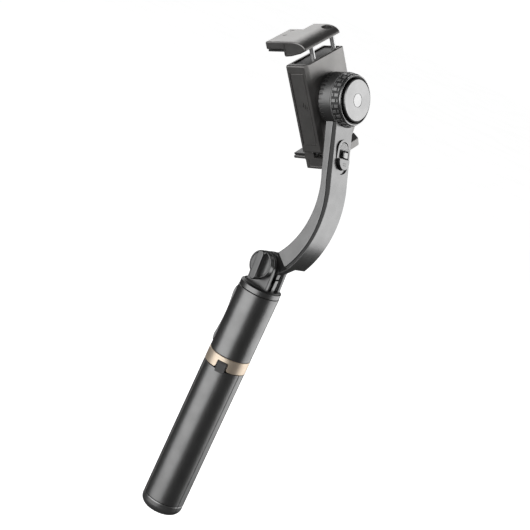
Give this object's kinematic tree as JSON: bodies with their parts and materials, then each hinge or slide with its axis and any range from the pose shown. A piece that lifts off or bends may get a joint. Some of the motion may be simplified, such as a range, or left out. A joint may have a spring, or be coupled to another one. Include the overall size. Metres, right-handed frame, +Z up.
{
  "type": "camera gimbal",
  "caption": "Single-axis phone gimbal: a spring clamp on a round motor, a curved folding arm and a telescopic handle that opens into a tripod.",
  "frame": {"origin": "on the handle's axis, at the bottom of the feet", "axes": "+Z up the handle, -Y the side the motor's cap faces, +X along the arm's fold hinge"},
  "size_m": [0.0784, 0.0868, 0.3598],
  "materials": {
    "charcoal_plastic": "satin charcoal",
    "grey_plastic": "satin mid grey",
    "pale_grey_plastic": "satin light grey",
    "black_plastic": "satin black",
    "champagne_metal": "anodised champagne gold, satin",
    "rubber": "matt black rubber",
    "chrome": "polished",
    "steel": "plain steel",
    "copper": "varnished copper winding",
    "magnet": "nickel-coated magnet",
    "board": "circuit board",
    "cell": "shrink-wrapped cell",
    "lens": "milky lens"
  },
  "bodies": {
    "handle": {"handle_tube": "charcoal_plastic", "handle_core": "black_plastic", "handle_collar": "champagne_metal", "leg_hub": "black_plastic", "leg_pin_1": "steel", "leg_pin_2": "steel", "leg_pin_3": "steel", "pole_sleeve": "steel"},
    "leg_one": {"leg_1": "charcoal_plastic", "foot_1": "rubber"},
    "leg_two": {"leg_2": "charcoal_plastic", "foot_2": "rubber"},
    "leg_three": {"leg_3": "charcoal_plastic", "foot_3": "rubber"},
    "remote": {"remote_shell": "charcoal_plastic", "remote_back": "charcoal_plastic", "remote_board": "board", "remote_cell": "steel"},
    "remote_key": {"remote_button": "black_plastic"},
    "pole_one": {"pole_section_1": "chrome"},
    "pole_two": {"pole_section_2": "chrome"},
    "pole_three": {"pole_section_3": "chrome"},
    "neck": {"pole_section_4": "chrome", "top_cap": "charcoal_plastic", "hinge_yoke": "black_plastic", "hinge_nut": "steel"},
    "knob": {"hinge_knob": "grey_plastic", "hinge_bolt": "steel"},
    "arm": {"arm_shell": "grey_plastic", "arm_cover": "pale_grey_plastic", "arm_battery": "cell", "switch_plate": "black_plastic", "status_lens": "lens", "switch_board": "board", "motor_housing": "black_plastic", "trim_ring": "charcoal_plastic", "motor_cap": "pale_grey_plastic", "driver_board": "board", "motor_stator": "copper", "bearing_rear": "steel", "bearing_front": "steel"},
    "power_key": {"power_button": "grey_plastic"},
    "mode_switch": {"mode_slider": "pale_grey_plastic"},
    "clamp": {"rotor_bell": "black_plastic", "rotor_magnet": "magnet", "motor_shaft": "chrome", "clamp_body": "charcoal_plastic", "clamp_back": "black_plastic", "phone_pad": "rubber", "side_panel": "charcoal_plastic", "sensor_board": "board", "lower_jaw": "charcoal_plastic", "lower_jaw_pad": "rubber", "jaw_spring": "steel"},
    "jaw": {"upper_jaw": "charcoal_plastic", "upper_jaw_pad": "rubber", "guide_rod_1": "chrome", "guide_rod_2": "chrome", "rod_bridge": "steel"}
  },
  "joints": [
    {"name": "leg_one_fold", "type": "hinge", "parent": "handle", "child": "leg_one", "pos_m": [0, 0.0118, 0.1202], "axis": [1, 0, 0], "range_deg": [0, 65]},
    {"name": "leg_two_fold", "type": "hinge", "parent": "handle", "child": "leg_two", "pos_m": [-0.01022, -0.0059, 0.1202], "axis": [-0.5, 0.866, 0], "range_deg": [0, 65]},
    {"name": "leg_three_fold", "type": "hinge", "parent": "handle", "child": "leg_three", "pos_m": [0.01022, -0.0059, 0.1202], "axis": [-0.5, -0.866, 0], "range_deg": [0, 65]},
    {"name": "remote_release", "type": "slide", "parent": "handle", "child": "remote", "axis": [0, 1, 0], "range_m": [0, 0.012]},
    {"name": "remote_press", "type": "slide", "parent": "remote", "child": "remote_key", "axis": [0, -1, 0], "range_m": [0, 0.0006], "stiffness_N_per_m": 500, "springref_m": -0.0008},
    {"name": "pole_one_slide", "type": "slide", "parent": "handle", "child": "pole_one", "axis": [0, 0, 1], "range_m": [0, 0.13]},
    {"name": "pole_two_slide", "type": "slide", "parent": "pole_one", "child": "pole_two", "axis": [0, 0, 1], "range_m": [0, 0.13]},
    {"name": "pole_three_slide", "type": "slide", "parent": "pole_two", "child": "pole_three", "axis": [0, 0, 1], "range_m": [0, 0.13]},
    {"name": "neck_slide", "type": "slide", "parent": "pole_three", "child": "neck", "axis": [0, 0, 1], "range_m": [0, 0.13]},
    {"name": "knob_turn", "type": "hinge", "parent": "neck", "child": "knob", "pos_m": [-0.012, 0, 0.196], "axis": [-1, 0, 0], "range_deg": [0, 180]},
    {"name": "arm_fold", "type": "hinge", "parent": "neck", "child": "arm", "pos_m": [0, 0, 0.196], "axis": [1, 0, 0], "range_deg": [-135, 30]},
    {"name": "power_press", "type": "slide", "parent": "arm", "child": "power_key", "axis": [0, 0.91, -0.4147], "range_m": [0, 0.0008], "stiffness_N_per_m": 500, "springref_m": -0.0008},
    {"name": "mode_shift", "type": "slide", "parent": "arm", "child": "mode_switch", "axis": [-1, 0, 0], "range_m": [0, 0.0055]},
    {"name": "clamp_roll", "type": "hinge", "parent": "arm", "child": "clamp", "pos_m": [0, 0.029, 0.3096], "axis": [0, -0.9373, 0.3486], "range_deg": [-166.3, 103.7]},
    {"name": "jaw_slide", "type": "slide", "parent": "clamp", "child": "jaw", "axis": [-0.5195, 0.2978, 0.8009], "range_m": [-0.004, 0.018], "deforming": ["jaw_spring"]}
  ]
}
